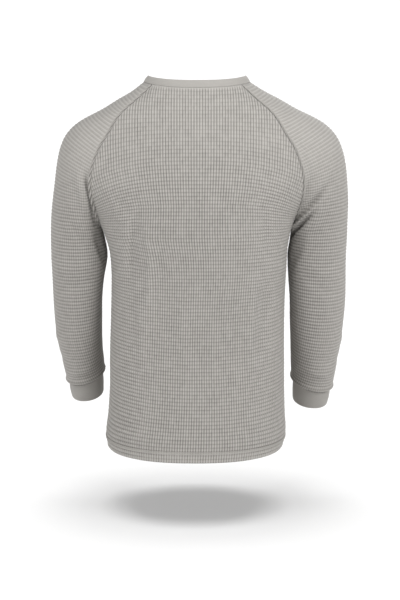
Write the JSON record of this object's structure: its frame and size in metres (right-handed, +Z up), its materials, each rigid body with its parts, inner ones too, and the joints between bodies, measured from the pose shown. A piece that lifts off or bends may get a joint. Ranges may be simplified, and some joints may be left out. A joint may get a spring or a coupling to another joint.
{
  "type": "thermal top",
  "caption": "Long-sleeved raglan thermal top in waffle knit with a plain neckband, plain cuffs and a turned hem, filled out as worn.",
  "frame": {"origin": "middle of the neck opening, level with the two shoulder neck points, where the wearer holds the top up", "axes": "+Z up along the body, the front faces -Y and the wearer's left sleeve is on +X"},
  "size_m": [0.5475, 0.2598, 0.6916],
  "materials": {
    "waffle_knit": "matt waffle knit, warm light grey",
    "rib_knit": "matt fine rib, warm light grey"
  },
  "bodies": {
    "root": {"back_panel": "waffle_knit", "front_panel": "waffle_knit", "sleeve_left": "waffle_knit", "sleeve_right": "waffle_knit", "neckband": "rib_knit", "cuff_left": "rib_knit", "cuff_right": "rib_knit"}
  },
  "joints": []
}
